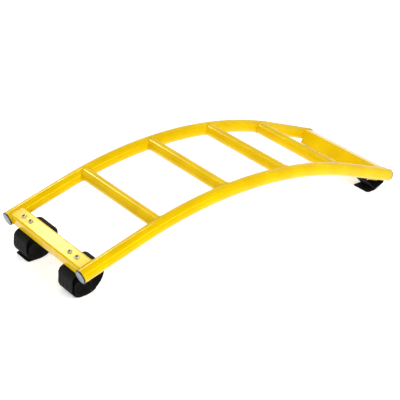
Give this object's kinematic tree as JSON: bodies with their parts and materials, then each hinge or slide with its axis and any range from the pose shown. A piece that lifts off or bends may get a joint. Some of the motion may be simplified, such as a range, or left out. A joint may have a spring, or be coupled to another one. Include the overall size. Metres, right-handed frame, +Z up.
{
  "type": "climbing arch ladder",
  "caption": "Bent steel climbing arch for children: two round rails with rungs and flat end bars, standing on hook-and-loop strap loops that wrap round another frame.",
  "frame": {"origin": "on the floor, under the middle of the whole part's length and width", "axes": "+X along the arch from its left end to its right end, +Y across it towards the far rail, +Z up"},
  "size_m": [1.2216, 0.4, 0.229],
  "materials": {
    "powder_coated_steel": "glossy yellow powder coat",
    "black_plastic": "smooth moulded plastic",
    "webbing": "black hook-and-loop webbing",
    "zinc_plated_steel": "bright zinc plate"
  },
  "bodies": {
    "arch": {"near_rail": "powder_coated_steel", "far_rail": "powder_coated_steel", "rung_1": "powder_coated_steel", "rung_2": "powder_coated_steel", "rung_3": "powder_coated_steel", "rung_4": "powder_coated_steel", "left_end_bar": "powder_coated_steel", "right_end_bar": "powder_coated_steel", "near_left_plug": "black_plastic", "near_right_plug": "black_plastic", "far_left_plug": "black_plastic", "far_right_plug": "black_plastic", "far_left_strap": "webbing", "far_left_clamp_plate": "zinc_plated_steel", "far_left_screws": "zinc_plated_steel", "far_left_washers": "zinc_plated_steel", "far_left_nuts": "zinc_plated_steel", "near_left_strap": "webbing", "near_left_clamp_plate": "zinc_plated_steel", "near_left_screws": "zinc_plated_steel", "near_left_washers": "zinc_plated_steel", "near_left_nuts": "zinc_plated_steel", "far_right_strap": "webbing", "far_right_clamp_plate": "zinc_plated_steel", "far_right_screws": "zinc_plated_steel", "far_right_washers": "zinc_plated_steel", "far_right_nuts": "zinc_plated_steel", "near_right_strap": "webbing", "near_right_clamp_plate": "zinc_plated_steel", "near_right_screws": "zinc_plated_steel", "near_right_washers": "zinc_plated_steel", "near_right_nuts": "zinc_plated_steel"},
    "far_left_flap": {"far_left_tail": "webbing"},
    "near_left_flap": {"near_left_tail": "webbing"},
    "far_right_flap": {"far_right_tail": "webbing"},
    "near_right_flap": {"near_right_tail": "webbing"}
  },
  "joints": [
    {"name": "far_left_peel", "type": "hinge", "parent": "arch", "child": "far_left_flap", "pos_m": [-0.58184, 0.112, 0.0022], "axis": [0, 1, 0], "range_deg": [0, 25]},
    {"name": "near_left_peel", "type": "hinge", "parent": "arch", "child": "near_left_flap", "pos_m": [-0.5518, -0.112, 0.00106], "axis": [0, 1, 0], "range_deg": [0, 18]},
    {"name": "far_right_peel", "type": "hinge", "parent": "arch", "child": "far_right_flap", "pos_m": [0.55194, 0.112, 0.0022], "axis": [0, 1, 0], "range_deg": [0, 40]},
    {"name": "near_right_peel", "type": "hinge", "parent": "arch", "child": "near_right_flap", "pos_m": [0.55194, -0.112, 0.0022], "axis": [0, 1, 0], "range_deg": [0, 40]}
  ]
}
